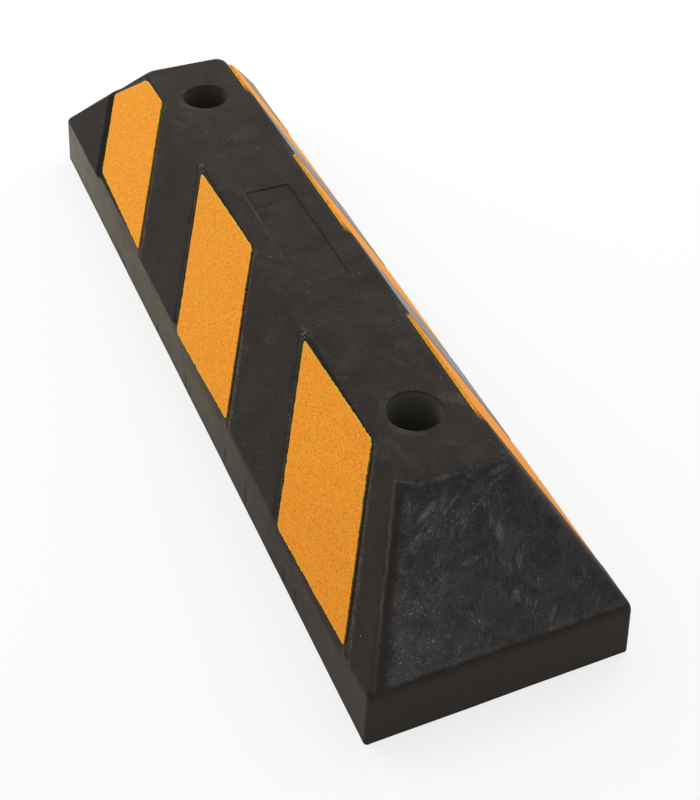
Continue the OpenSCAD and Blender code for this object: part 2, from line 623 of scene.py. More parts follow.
class Wire:
    # a node's output; sums on it add Math nodes

    def __init__(self, tree, socket):
        self.tree = tree
        self.socket = socket

    def node(self, kind, settings=None, inputs=None, output=0):
        made = self.tree.nodes.new(kind)
        for name, value in (settings or {}).items():
            if name == "stops":
                ramp = made.color_ramp
                while len(ramp.elements) < len(value):
                    ramp.elements.new(1)
                for element, (place, colour) in zip(ramp.elements, value):
                    element.position = place
                    element.color = (*colour, 1)
            else:
                setattr(made, name, value)
        for name, value in (inputs or {}).items():
            if isinstance(value, Wire):
                self.tree.links.new(value.socket, made.inputs[name])
            else:
                made.inputs[name].default_value = value
        return Wire(self.tree, made.outputs[output])

    def sum(self, operation, *values):
        inputs = {number: value for number, value in enumerate(values)}
        return self.node("ShaderNodeMath", {"operation": operation}, inputs)

    def __add__(self, other):
        return self.sum("ADD", self, other)

    def __radd__(self, other):
        return self.sum("ADD", other, self)

    def __sub__(self, other):
        return self.sum("SUBTRACT", self, other)

    def __rsub__(self, other):
        return self.sum("SUBTRACT", other, self)

    def __mul__(self, other):
        return self.sum("MULTIPLY", self, other)

    def __rmul__(self, other):
        return self.sum("MULTIPLY", other, self)

    def __truediv__(self, other):
        return self.sum("DIVIDE", self, other)

    def size(self):
        return self.sum("ABSOLUTE", self)

    def fraction(self):
        return self.sum("FRACT", self)

    def root(self):
        return self.sum("SQRT", self)

    def most(self, other):
        return self.sum("MAXIMUM", self, other)

    def step(self, low, high):
        # 0 below low, 1 above high, soft between
        settings = {"interpolation_type": "SMOOTHSTEP"}
        return self.node("ShaderNodeMapRange", settings, {0: self, 1: low, 2: high})

    def line(self, middle, half, soft):
        # 1 within half of the middle, soft to 0 beyond
        return 1 - (self - middle).size().step(half, half + soft)

    def blend(self, first, second):
        # from the first colour to the second as this value goes from 0 to 1
        colours = {0: self}
        for number, colour in ((6, first), (7, second)):
            colours[number] = colour if isinstance(colour, Wire) else (*colour, 1)
        return self.node("ShaderNodeMix", {"data_type": "RGBA"}, colours, 2)


def newMaterial(name):
    material = bpy.data.materials.new(name)
    material.use_nodes = True
    tree = material.node_tree
    shader = tree.nodes["Principled BSDF"]
    place = Wire(tree, None).node("ShaderNodeTexCoord", output="Object")
    return material, shader, place


def axes(place):
    return [place.node("ShaderNodeSeparateXYZ", {}, {0: place}, axis) for axis in "XYZ"]


def lengthOf(place):
    return place.node("ShaderNodeVectorMath", {"operation": "LENGTH"}, {0: place}, "Value")


def mapped(place, scale=(1, 1, 1), turn=(0, 0, 0), shift=(0, 0, 0)):
    inputs = {"Vector": place, "Location": shift, "Rotation": turn, "Scale": scale}
    return place.node("ShaderNodeMapping", {}, inputs)


def markPlace(place, middle, size, turn=(0, 0, 0)):
    # the coordinates of one mark, 1 at its half length and half width
    inputs = {"Vector": place, "Location": middle, "Rotation": turn, "Scale": size}
    return place.node("ShaderNodeMapping", {"vector_type": "TEXTURE"}, inputs)


def grain(place, scale, detail=3, rough=0.5, twist=0, output=0):
    inputs = {
        "Vector": place, "Scale": scale, "Detail": detail, "Roughness": rough, "Distortion": twist,
    }
    return place.node("ShaderNodeTexNoise", {}, inputs, output)


def flecks(place, scale, reach, rare):
    # small round flecks, in a random few of the cells
    cells = place.node("ShaderNodeTexVoronoi", {}, {"Vector": place, "Scale": scale})
    tint = Wire(place.tree, cells.socket.node.outputs["Color"])
    chosen = tint.node("ShaderNodeSeparateColor", {}, {0: tint})
    return (1 - cells.step(reach * 0.5, reach)) * chosen.step(rare, rare + 0.04)


def connect(shader, name, wire):
    wire.tree.links.new(wire.socket, shader.inputs[name])


def finishWith(shader, finish, height):
    # the constant values of a material, and its bump
    for name, key in (
        ("Specular IOR Level", "specular"), ("Coat Roughness", "shineRough"), ("Coat IOR", "shineIndex"),
    ):
        shader.inputs[name].default_value = finish[key]
    inputs = {"Strength": finish["bump"], "Distance": finish["bumpDepth"], "Height": height}
    connect(shader, "Normal", height.node("ShaderNodeBump", {}, inputs))


# Rubber: warm black, scuffed to a blue grey on the ends, mottled brown on the walls under a painted
# reflection, with painted light and shade along edges and round the strips

grains = {
    # scale, detail, roughness and twist of the noises that the rubber's marks share
    "broad": (24, 4, 0.6, 0),
    "patches": (80, 4, 0.6, 0.4),
    "cloudy": (95, 4, 0.65, 0.6),
    "broken": (150, 4, 0.75, 0),
    "beaded": (620, 2, 0.6, 0),
    "fine": (1000, 2, 0.6, 0),
    "gritty": (2100, 2, 0.6, 0),
}
rubber = {
    "dark": (0.02, 0.0163, 0.0136),
    "pale": (0.0355, 0.0295, 0.0245),
    # painted shade for the ramps, the gaps beside and above the strips, and the crease at each panel's
    # foot
    "paintedShade": (0.007, 0.0058, 0.005),
    # real wear, and painted highlights along the hips, the ramps and the back edge
    "wearAndHighlight": (0.135, 0.127, 0.112),
    # dust, and partly painted sheen on the back slope
    "dustAndSheen": (0.12, 0.11, 0.092),
    "speck": (0.45, 0.43, 0.37),
    # the painted highlight along a front hip lies on the hip at this height, and drifts off it up the hip
    "lineHeight": 0.064,
    "lineDrift": 0.0789,
    # from here outwards the painted highlight at an end of the flat top turns down, this steeply
    "turnFrom": 0.02,
    "turn": 0.55,
    "roughness": 0.6,
    "roughVary": 0.16,
    "specular": 0.06,
    "shine": 1.0,            # sheen of the back slope, seen at a low angle
    "shineRough": 0.34,
    "shineIndex": 1.3,
    "bump": 0.4,
    "bumpDepth": 0.0004,
    "specks": 0.5,
}
topMarks = {
    # stretched noise: its scale along the block, across and up, its turn, and how much it shows
    "wipes": ((620, 60, 90), 0.25, 0.14),
    "hairs": ((1100, 70, 200), -0.5, 0.12),
    "bend": 0.16,
    "clouds": 0.16,
    # smudges on the flat top: place, turn, half length, half width, strength
    "smudges": [
        (-0.1365, -0.0265, 20, 0.0045, 0.003, 0.55),
        (-0.144, -0.009, 70, 0.006, 0.0018, 0.3),
        (0.161, 0.0225, 60, 0.011, 0.005, 0.95),
        (0.157, 0.017, 80, 0.008, 0.003, 0.55),
        (0.18, -0.0215, 30, 0.01, 0.003, 0.4),
        (0.1275, 0.0175, 50, 0.006, 0.004, 0.35),
        (0.052, -0.0265, 10, 0.013, 0.0016, 0.2),
        (0.084, -0.0275, 35, 0.009, 0.0045, 0.6),
        (0.028, 0.005, 70, 0.005, 0.0008, 0.25),
        (0.046, -0.014, 80, 0.007, 0.001, 0.25),
        (-0.015, 0.008, 75, 0.012, 0.0008, 0.14),
        (-0.07, 0.0000, 65, 0.014, 0.0014, 0.18),
        (0.186, -0.0265, 0, 0.004, 0.0035, 0.45),
    ],
}


def rubberField(place):
    # where a point lies on the block, and the grains there
    x, y, z = axes(place)
    at = SimpleNamespace(place=place, x=x, y=y, z=z, endAt=x.size(), sideAt=y.size())
    for name, values in grains.items():
        setattr(at, name, grain(place, *values))
    at.broken = at.broken.step(0.4, 0.62)
    at.beaded = at.beaded.step(0.46, 0.62)
    at.speckle = at.gritty.step(0.4, 0.62)
    # these two vary round 0, and wander is how far a painted highlight or a worn line strays
    at.cloud = at.cloudy - 0.5
    at.grit = at.fine - 0.5
    at.wander = at.cloud * 0.004 + at.grit * 0.0014
    at.right = y.step(-0.001, 0.001)
    at.onTop = z.step(blockHeight - 0.006, blockHeight - 0.001)
    at.atTop = z.step(blockHeight - 0.0024, blockHeight - 0.001)
    at.aboveBase = z.step(baseTop + 0.0004, baseTop + 0.002)
    # distance in from a hip across its end face, and how far along the flat top's end is reached
    hip = at.sideAt - (at.endAt - topEnd) * (sideRun / endRun) - topSide
    drift = (z - rubber["lineHeight"]) * rubber["lineDrift"] * (1 - at.right)
    at.inside = drift - hip
    at.topAt = at.endAt + (at.sideAt - rubber["turnFrom"]).most(0) * rubber["turn"] * (1 - at.right)
    at.past = at.topAt.step(topEnd - 0.0004, topEnd + 0.001)
    return at


def worn(at, local):
    # a ragged mark round the middle of these coordinates
    return 1 - (lengthOf(local) + (at.patches - 0.5) * 2.6 + at.grit * 1.2).step(0.4, 1.1)


def rubberTone(at):
    # mottled; along the block painted light makes the slopes paler and the flat top darker towards the
    # near end
    tone = (at.broad * 0.5 + at.cloudy * 0.4 + at.fine * 0.6 + at.gritty * 0.75).step(0.94, 1.31)
    tone = (tone - 0.5) * (at.onTop * 0.5 + 1) + 0.45 + at.onTop * 0.05
    return tone + at.x * (1.25 - at.onTop * 1.85)


def topDust(at):
    # faint curved wipes across the top, hairs along it and smudges of dust
    warp = grain(at.place, 9, 2, 0.5, output="Color")
    bent = {0: topMarks["bend"], 4: at.place, 5: warp}
    bent = at.place.node("ShaderNodeMix", {"data_type": "VECTOR"}, bent, 1)
    scale, turn, wipeShare = topMarks["wipes"]
    wipes = grain(mapped(bent, scale, (0, 0, turn)), 1, 4, 0.65).step(0.56, 0.76)
    scale, turn, hairShare = topMarks["hairs"]
    hairs = grain(mapped(bent, scale, (0, 0, turn)), 1, 3, 0.6).step(0.62, 0.78)
    clouds = grain(at.place, 34, 5, 0.7, 0.5).step(0.54, 0.76)
    dusty = wipes * wipeShare + hairs * hairShare + clouds * topMarks["clouds"]
    for along, across, turn, length, wide, strength in topMarks["smudges"]:
        middle = (along, across, blockHeight)
        local = markPlace(at.place, middle, (length, wide, 0.006), (0, 0, math.radians(turn)))
        dusty = dusty.most(worn(at, local) * (wipes * 0.3 + at.speckle * 0.8) * strength * 0.6)
    return dusty, wipes


endPanel = {
    "dark": (0.0215, 0.0198, 0.0198),
    "pale": (0.064, 0.0605, 0.0605),
    "olive": (0.036, 0.0365, 0.03),
    "bloom": (0.07, 0.068, 0.074),
    # real scuffs, and the painted highlight along the ends of the flat top
    "scuffAndHighlight": (0.14, 0.148, 0.158),
    "band": (0.0175, 0.0143, 0.012),
    "bandWidth": 0.0072,     # the clean band beside a front hip
    "brushHeight": 0.065,
    # long fine scratches, swept, hatched, scored and crossed: lean from level, place across,
    # cell length, cell width, detail, roughness
    "brushes": [
        (32, 0.00, 0.0042, 0.0005, 3, 0.7),
        (76, 0.00, 0.0042, 0.0005, 3, 0.7),
        (50, 0.01, 0.0085, 0.0004, 2, 0.6),
        (-38, 0.01, 0.0085, 0.0004, 2, 0.6),
    ],
    # families of short strokes: lean from level, cell length, cell width, how rare, strength
    "strokes": [
        (34, 0.011, 0.0017, 0.66, 0.5),
        (48, 0.008, 0.0014, 0.74, 0.42),
        (78, 0.012, 0.0016, 0.66, 0.42),
        (86, 0.007, 0.0013, 0.72, 0.36),
        (-22, 0.008, 0.0014, 0.84, 0.34),
    ],
    # wiped marks: place across and height, lean from level, half length, half width, strength
    "marks": [
        (-0.02, 0.087, 30, 0.009, 0.0017, 0.8),
        (-0.023, 0.083, 38, 0.006, 0.001, 0.5),
        (-0.008, 0.087, 34, 0.009, 0.0009, 0.6),
        (-0.004, 0.084, 42, 0.006, 0.0008, 0.45),
        (-0.003, 0.081, 20, 0.0035, 0.0012, 0.8),
        (-0.01, 0.078, 55, 0.003, 0.0008, 0.6),
        (0.014, 0.0735, 80, 0.0075, 0.002, 0.9),
        (0.011, 0.078, 70, 0.005, 0.001, 0.55),
        (0.02, 0.063, 76, 0.006, 0.0014, 0.6),
        (0.014, 0.061, 76, 0.003, 0.001, 0.5),
        (-0.003, 0.0675, 8, 0.007, 0.0012, 0.45),
        (0.003, 0.0655, 80, 0.003, 0.0009, 0.55),
        (0.014, 0.0515, 60, 0.0042, 0.0024, 0.7),
        (0.021, 0.0455, 52, 0.0065, 0.0009, 0.5),
        (0.029, 0.041, 52, 0.007, 0.001, 0.4),
        (0.054, 0.04, 56, 0.006, 0.0009, 0.4),
        (0.024, 0.0945, 12, 0.009, 0.0014, 0.5),
        (0.016, 0.09, 20, 0.01, 0.001, 0.35),
        (-0.047, 0.05, 40, 0.0065, 0.003, 0.35),
        (-0.04, 0.046, 60, 0.005, 0.0016, 0.25),
    ],
}


def onPanel(at, across, height, lean, length, wide):
    # a mark's coordinates on the near end face
    face = Matrix.Rotation(endSlope, 3, "Y")
    turn = (face @ Matrix.Rotation(math.radians(90 + lean), 3, "Z")).to_euler("XYZ")
    middle = (topEnd + (blockHeight - height) / math.tan(endSlope), across, height)
    return markPlace(at.place, middle, (length, wide, 0.004), turn)


def panelScuffs(at, swept, hatched, scored, crossed):
    upper = (at.z - at.y * 0.6).step(0.06, 0.09)
    patchy = at.patches.step(0.44, 0.6)
    scuffs = hatched.step(0.57, 0.66) * patchy * (0.24 + at.y.step(-0.01, 0.03) * 0.1)
    scuffs = scuffs + swept.step(0.58, 0.67) * at.patches.step(0.44, 0.58) * upper * 0.52
    scuffs = scuffs + scored.step(0.6, 0.66) * at.patches.step(0.4, 0.56) * (0.2 + upper * 0.3)
    scuffs = scuffs + crossed.step(0.62, 0.68) * (1 - patchy) * (0.14 + upper * 0.26)
    strokes = 0
    for lean, length, wide, rare, strength in endPanel["strokes"]:
        share = (0.25 + upper * 0.75) if lean < 60 else (0.35 + at.y.step(-0.02, 0.02) * 0.35)
        cells = flecks(onPanel(at, 0.004, 0.06, lean, length, wide), 1, 0.46, rare)
        strokes = cells * share * strength + strokes
    scuffs = scuffs + strokes * (at.beaded * 0.5 + 0.3) * at.patches.step(0.42, 0.58)
    for across, height, lean, length, wide, strength in endPanel["marks"]:
        streaks = (hatched if lean > 50 else swept).step(0.42, 0.58)
        mark = worn(at, onPanel(at, across, height, lean, length, wide * 1.25))
        scuffs = scuffs.most(mark * (streaks * 0.75 + at.speckle * 0.25) * strength * 1.05)
    return scuffs


def endFaces(at, tone, colour):
    # a clean band inside each hip, then a panel scuffed to a blue grey
    band = at.inside.step(-0.0004, 0.0008) * at.aboveBase * at.past
    bandTone = (tone * 0.5 + 0.1).blend(endPanel["band"], rubber["pale"])
    colour = (band * (1 - at.inside.step(0.003, 0.009) * 0.5)).blend(colour, bandTone)
    width = endPanel["bandWidth"] * (1 - at.right * 0.8)
    ragged = at.inside + at.cloud * 0.007 + at.grit * 0.004
    corner = (at.endAt - topEnd) * 0.8 + at.inside * 0.5
    foot = (at.z + at.cloud * 0.002).step(baseTop + 0.001, baseTop + 0.003)
    panel = ragged.step(width - 0.003, width + 0.0026) * corner.step(0.0012, 0.007) * at.past * foot

    brushes = [
        grain(onPanel(at, across, endPanel["brushHeight"], lean, length, wide), 1, detail, rough)
        for lean, across, length, wide, detail, rough in endPanel["brushes"]
    ]
    hatched = brushes[1]
    panelTone = at.cloudy * 0.4 + at.fine * 0.36 + at.gritty * 0.46 + hatched * 0.36
    panelTone = panelTone - (at.z - 0.062).most(0) * 2.4 - at.y * 0.7 + (at.patches - 0.5) * 0.16
    panelColour = panelTone.step(0.62, 1.00).blend(endPanel["dark"], endPanel["pale"])
    olive = grain(mapped(at.place, shift=(3, 1, 2)), 40, 3, 0.6, 0.4)
    olive = (olive + at.y * 2.0).step(0.52, 0.7)
    panelColour = (olive * 0.35).blend(panelColour, endPanel["olive"])
    bloom = at.broad * 0.6 + at.cloudy * 0.5 + at.gritty * 0.6 - at.y * 5.4 - at.z * 4.2
    bloom = bloom.step(0.7, 1.24) * (0.4 + at.speckle * 0.35)
    panelColour = bloom.blend(panelColour, endPanel["bloom"])
    scuffs = panelScuffs(at, *brushes)
    panelColour = scuffs.blend(panelColour, endPanel["scuffAndHighlight"])
    return panel.blend(colour, panelColour), panel, scuffs


def paintedEdgeLight(at, colour):
    # painted highlights along the hips, the ends of the flat top and the foot of each panel, and painted
    # shade in the crease below
    # painted highlight along each hip
    hipHighlight = (at.inside + at.wander * 0.7).line(0, 0.0003, 0.0014) * at.aboveBase
    hipHighlight = hipHighlight * at.endAt.step(topEnd - 0.0065, topEnd - 0.0045) * (1 - at.right * 0.5)
    hipHighlight = hipHighlight * (1 - at.z.step(blockHeight - 0.0004, blockHeight - 0.0001))
    hipShare = 0.06 + at.broken * 0.2 + at.z.step(0.05, 0.08) * 0.1
    hipShare = hipShare + at.cloudy.step(0.5, 0.6) * 0.08
    # painted highlight along the foot of each panel
    footHighlight = at.z.line(baseTop + 0.003, 0.0003, 0.001) * at.past * at.inside.step(0.004, 0.008)
    colour = (hipHighlight * hipShare + footHighlight * at.broken * 0.12).blend(colour, rubber["wearAndHighlight"])
    # painted highlight along the ends of the flat top
    topHighlight = (at.topAt + at.wander * 0.3).line(topEnd + 0.0006, 0.0002, 0.0014) * at.onTop
    topHighlight = topHighlight * (1 - (at.sideAt - 0.022).step(0, 0.008) * 0.6)
    colour = (topHighlight * (0.06 + at.broken * 0.3)).blend(colour, endPanel["scuffAndHighlight"])
    # painted shade in the crease at each panel's foot
    creaseShade = at.z.line(baseTop + 0.001, 0.0003, 0.001)
    creaseShade = creaseShade * at.endAt.step(halfLength - 0.007, halfLength - 0.005)
    return (creaseShade * (0.18 + at.broken * 0.2)).blend(colour, rubber["paintedShade"])


pocketMarks = {
    "crumb": (0.36, 0.33, 0.17),
    # the brownish painted highlight where the near ramps end
    "brownHighlight": (0.12, 0.102, 0.066),
    # the painted shade on the ramps: its width, and what is added to it
    "rampWidth": 0.0014,     # dark width on the ramps' far side
    "firstExtra": 0.0058,    # and what the first pocket's far ramp and the near ramps add to it
    "nearExtra": 0.0012,
    "lowExtra": 0.0016,
    "firstEnd": -0.124,      # the first pocket's far ramp lies before this place along the block
    "rampShare": 0.62,
    "sideShadeShare": 0.75,
    "topShadeShare": 0.65,
    "crumbShare": 0.5,
    "chipShare": 0.55,
}


def pocketEdges(at, colour):
    # painted shade round each strip and on its ramps, and speckled painted highlights where the ramps end
    up = (at.z - baseTop) / math.sin(sideSlope)
    stripeAt = at.x + (up - sideLength / 2) * math.tan(pocket["lean"]) - pocket["shift"]
    offset = ((stripeAt / pocket["pitch"] + 1.5).fraction() - 0.5) * pocket["pitch"]
    across = (offset.size() - pocket["stripWidth"] / 2) * math.cos(pocket["lean"])
    endReach = at.endAt - halfLength + block["draft"] + (at.z - baseTop) / math.tan(endSlope)
    offEnd = 1 - endReach.step(-0.0018, -0.001)
    lastEdge = 1.5 * pocket["pitch"]
    onSide = at.sideAt.step(topSide - 0.0036, topSide - 0.0014) * offEnd
    onSide = onSide * at.z.step(baseTop - 0.004, baseTop - 0.002)
    onSide = onSide * (1 - stripeAt.size().step(lastEdge, lastEdge + 0.001))
    nearSide = offset.step(-0.001, 0.001)
    farSide = 1 - nearSide
    firstEnd = pocketMarks["firstEnd"]
    first = (1 - at.x.step(firstEnd - 0.004, firstEnd + 0.004)) * farSide
    lower = 1 - at.z.step(0.045, 0.09)
    wavy = across + at.cloud * 0.0016 + at.grit * 0.001

    # the ramps themselves, darkened with painted shade
    nearRamp = nearSide * (lower * pocketMarks["lowExtra"] + pocketMarks["nearExtra"])
    pastRamp = wavy - (first * pocketMarks["firstExtra"] + nearRamp + pocketMarks["rampWidth"])
    rampShade = (1 - pastRamp.step(0, 0.001)) * across.step(-0.0004, 0.0002)
    rampShade = rampShade * onSide * (pocketMarks["rampShare"] + first * 0.2)
    colour = rampShade.blend(colour, rubber["paintedShade"])

    # painted highlights beyond them
    lines = pastRamp.line(0.0012, 0.0001, 0.0007) * farSide * (0.12 + at.beaded * 0.34)
    secondLine = wavy.line(0.0044, 0.0001, 0.0006) * farSide * (1 - first)
    thirdLine = wavy.line(0.0068, 0.0001, 0.0006) * farSide
    lines = lines + (secondLine * 0.24 + thirdLine * 0.14) * at.beaded
    colour = (lines * (0.4 + at.broken * 0.6) * onSide).blend(colour, rubber["wearAndHighlight"])
    # a brownish painted highlight where the near ramps end, with specks beyond
    nearHighlight = (pastRamp + at.grit * 0.0018).line(0.0018, 0.0008, 0.0012)
    nearHighlight = nearHighlight * (at.beaded * 0.5 + at.speckle * 0.4) * (at.broken * 0.7 + 0.3)
    beyond = wavy.line(0.0066, 0.001, 0.0016) * at.speckle * at.broken * lower
    nearHighlight = (nearHighlight + beyond * 0.26) * nearSide * onSide
    colour = nearHighlight.blend(colour, pocketMarks["brownHighlight"])

    # painted shade in the gaps beside the strips and above them, with crumbs and chips in those gaps
    shadeBesideStrips = across.line(0.0004, 0.0005, 0.0004) * onSide
    colour = (shadeBesideStrips * pocketMarks["sideShadeShare"]).blend(colour, rubber["paintedShade"])
    shadeAboveStrips = at.sideAt.line(topSide - 0.0021, 0.0005, 0.0004) * offEnd
    shadeAboveStrips = shadeAboveStrips * (1 - across.step(-0.003, 0.0002) * 0.7) * (1 - across.step(0, 0.0006))
    colour = (shadeAboveStrips * pocketMarks["topShadeShare"]).blend(colour, rubber["paintedShade"])
    crumbs = at.gritty.step(0.6, 0.66) * across.line(0.001, 0.001, 0.0008) * at.broken * onSide
    colour = (crumbs * pocketMarks["crumbShare"]).blend(colour, pocketMarks["crumb"])
    chips = at.gritty.step(0.54, 0.62) * (at.beaded * 0.6 + 0.4) * offEnd
    chips = chips * at.sideAt.line(topSide - 0.001, 0.0012, 0.0016)
    chips = chips * across.line(0.0012, 0.0006, 0.002)
    colour = (chips * pocketMarks["chipShare"]).blend(colour, rubber["speck"])
    return colour, stripeAt, across


def backSide(at, colour, stripeAt, across):
    # the back slope has a coat sheen and speckled dust that is partly painted sheen as far as its last
    # strip, then a painted highlight along the edge
    lastStrip = pocket["pitch"] + pocket["stripWidth"] / 2
    beyond = (stripeAt - lastStrip).step(-0.002, 0)
    slope = at.y.step(topSide - 0.001, topSide + 0.004) * (1 - at.onTop)
    shiny = slope * (1 - at.inside.step(-0.001, 0.001) * at.past) * (1 - beyond)
    # speckled dust, lightened partly as painted sheen
    colour = (shiny * at.speckle * 0.12).blend(colour, rubber["dustAndSheen"])
    # painted highlight along the edge beyond the last strip
    hipEdgeHighlight = (across - 0.0012).line(0, 0.0005, 0.0008) * beyond * slope
    return (hipEdgeHighlight * 0.55).blend(colour, rubber["wearAndHighlight"]), shiny


baseWall = {
    # painted reflection and light along the side walls, from the far end to the near end
    "sides": [
        (0.03, (0.16, 0.145, 0.108)),
        (0.24, (0.108, 0.09, 0.066)),
        (0.55, (0.088, 0.073, 0.049)),
        (0.77, (0.036, 0.0255, 0.0205)),
        (1.00, (0.043, 0.0355, 0.028)),
    ],
    "ends": (0.0295, 0.0234, 0.0192),
    "brown": (0.06, 0.046, 0.036),
    "brownShare": 0.55,
    # mould nicks, and the darker foot
    "nickAndFoot": (0.012, 0.01, 0.009),
    "nickShare": 0.9,
    # mould nicks on the front wall: place along and height, half length, half height
    "nicks": [
        (-0.13, 0.003, 0.004, 0.004),
        (0.002, 0.007, 0.002, 0.007),
        (0.015, 0.026, 0.002, 0.004),
        (0.0735, 0.009, 0.002, 0.008),
        (0.1075, 0.012, 0.002, 0.01),
        (0.15, 0.001, 0.012, 0.004),
        (0.167, 0.007, 0.004, 0.009),
        (0.183, 0.006, 0.004, 0.01),
    ],
}


def baseWalls(at, tone):
    # painted reflection, paler at the far end and darker near the other; darker along the foot, with dark
    # mould nicks there
    # painted reflection along the side walls
    nearness = at.x / (2 * halfLength) + 0.5 + at.cloud * 0.1 + (at.broad - 0.5) * 0.12
    colour = nearness.node("ShaderNodeValToRGB", {"stops": baseWall["sides"]}, {0: nearness})
    colour = (at.fine.step(0.45, 0.7) * 0.16).blend(colour, rubber["dark"])
    mottle = grain(mapped(at.place, (42, 1, 110), (0, 0.3, 0)), 1, 4, 0.65).step(0.46, 0.68)
    colour = (mottle * baseWall["brownShare"]).blend(colour, baseWall["brown"])
    # darker along the foot
    foot = 1 - (at.z + at.cloud * 0.004).step(0.0012, 0.0052)
    colour = (foot * 0.5).blend(colour, baseWall["nickAndFoot"])
    endTone = (tone * 0.4).blend(baseWall["ends"], rubber["pale"])
    colour = at.endAt.step(halfLength - 0.005, halfLength - 0.0025).blend(colour, endTone)
    nicks = grain(mapped(at.place, (170, 1, 34)), 1, 3, 0.6).step(0.6, 0.68)
    nicks = nicks * (1 - at.z.step(0.004, 0.014))
    for along, height, length, tall in baseWall["nicks"]:
        local = markPlace(at.place, (along, -halfWidth, height), (length, 0.01, tall))
        nicks = nicks.most(worn(at, local))
    return (nicks * baseWall["nickShare"]).blend(colour, baseWall["nickAndFoot"])


holeMarks = {
    "far": (0.066, 0.059, 0.05),
    "near": (0.104, 0.096, 0.08),
    "rimShare": 0.4,
    "arcOut": 0.0027,        # a faint worn arc this far outside a hole
    "arcShare": 0.2,
    # the recess's worn long edge: from here along the block, and where it has faded out
    "edgeFrom": -0.048,
    "edgeTo": 0.04,
}


def topHoles(at, colour):
    # holes dusty inside, their rims rubbed light, and the recess's near long edge rubbed too
    holeX = at.endAt - hole["pitch"] / 2
    radius = (holeX * holeX + at.y * at.y).root()
    inHole = 1 - radius.step(hole["headRadius"], hole["headRadius"] + 0.0002)
    inHole = inHole * (1 - at.z.step(blockHeight - 0.0015, blockHeight - 0.0005))
    colour = inHole.blend(colour, at.x.step(-0.01, 0.01).blend(holeMarks["far"], holeMarks["near"]))
    rim = radius.line(hole["headRadius"] + 0.0006, 0.0002, 0.0004) * (1 - at.y.step(-0.012, 0.004))
    arc = (radius + at.wander * 0.3).line(hole["headRadius"] + holeMarks["arcOut"], 0.0003, 0.0012)
    arc = arc * (1 - at.y.step(-0.008, 0.002))
    rubbed = (rim * holeMarks["rimShare"] + arc * holeMarks["arcShare"]) * at.broken * at.atTop
    edge = (at.y + at.wander * 0.4).line(-label["width"] / 2 - 0.0012, 0.0002, 0.001) * at.onTop
    edge = edge * at.x.step(holeMarks["edgeFrom"], holeMarks["edgeFrom"] + 0.004)
    edge = edge * (1 - at.x.step(holeMarks["edgeTo"] - 0.02, holeMarks["edgeTo"]))
    edge = edge * (0.1 + (1 - at.x.step(-0.026, -0.01)) * 0.34) * (0.3 + at.beaded * 0.7)
    return (rubbed + edge).blend(colour, rubber["wearAndHighlight"])


def paleSpecks(at, colour, panel, wall):
    # a few all over, and clusters on the panels, of uneven size and brightness
    specks = flecks(at.place, 240, 0.11, 0.8) * (0.25 + at.broken * 0.75) * (1 - wall)
    colour = (specks * rubber["specks"]).blend(colour, rubber["speck"])
    clustered = (at.patches + at.cloudy * 0.6 - at.y * 3.0 - at.z * 1.4).step(0.72, 0.98)
    dusting = flecks(at.place, 620, 0.24, 0.62) + flecks(at.place, 1000, 0.34, 0.74) * 0.7
    dusting = dusting * panel * clustered * (0.25 + at.broken * 0.6)
    return dusting.blend(colour, rubber["speck"])


def rubberMaterial():
    material, shader, place = newMaterial("scuffedRubber")
    at = rubberField(place)
    tone = rubberTone(at)
    dusty, wipes = topDust(at)
    colour = dusty.blend(tone.blend(rubber["dark"], rubber["pale"]), rubber["dustAndSheen"])
    colour, panel, scuffs = endFaces(at, tone, colour)
    colour = paintedEdgeLight(at, colour)
    colour, stripeAt, across = pocketEdges(at, colour)
    colour, shiny = backSide(at, colour, stripeAt, across)
    wall = 1 - at.z.step(baseTop - 0.0014, baseTop - 0.0002)
    colour = wall.blend(colour, baseWalls(at, tone))
    colour = topHoles(at, colour)
    connect(shader, "Base Color", paleSpecks(at, colour, panel, wall))
    rough = rubber["roughness"] + at.cloud * rubber["roughVary"] - wipes * 0.03
    connect(shader, "Roughness", rough)
    connect(shader, "Coat Weight", shiny * (0.75 + at.broken * 0.25) * rubber["shine"])
    height = at.fine * 0.5 + at.cloudy * 0.8 + at.gritty * 0.2 + scuffs * panel * 0.3
    finishWith(shader, rubber, height)
    return material


# Reflective sheet: a fine grain of orange and olive yellow, greener along its cut edges

sheet = {
    "deep": (0.9, 0.225, 0.015),
    "orange": (0.97, 0.29, 0.02),
    "yellow": (0.94, 0.4, 0.034),
    "olive": (0.66, 0.35, 0.028),
    "edge": (0.76, 0.47, 0.034),
    # dark dots in the grain, and the painted shade on the strips' lower near part
    "dot": (0.58, 0.2, 0.016),
    "glint": (1.00, 0.43, 0.06),
    "pit": (0.3, 0.12, 0.012),
    # how strongly each of these shows
    "dotShare": 0.75,
    "glintShare": 0.6,
    "shadeShare": 0.12,
    "pitShare": 0.4,
    # where each colour lies from deep to olive, and the mean place
    "stops": {"deep": 0.36, "orange": 0.49, "yellow": 0.6, "olive": 0.73},
    "level": 0.545,
    "turn": 0.1,            # how fast the colour goes from yellow to orange along the block
    "roughness": 0.66,
    "specular": 0.07,
    "shine": 0.05,
    "shineRough": 0.34,
    "shineIndex": 1.5,
    "bump": 0.55,
    "bumpDepth": 0.0004,
}


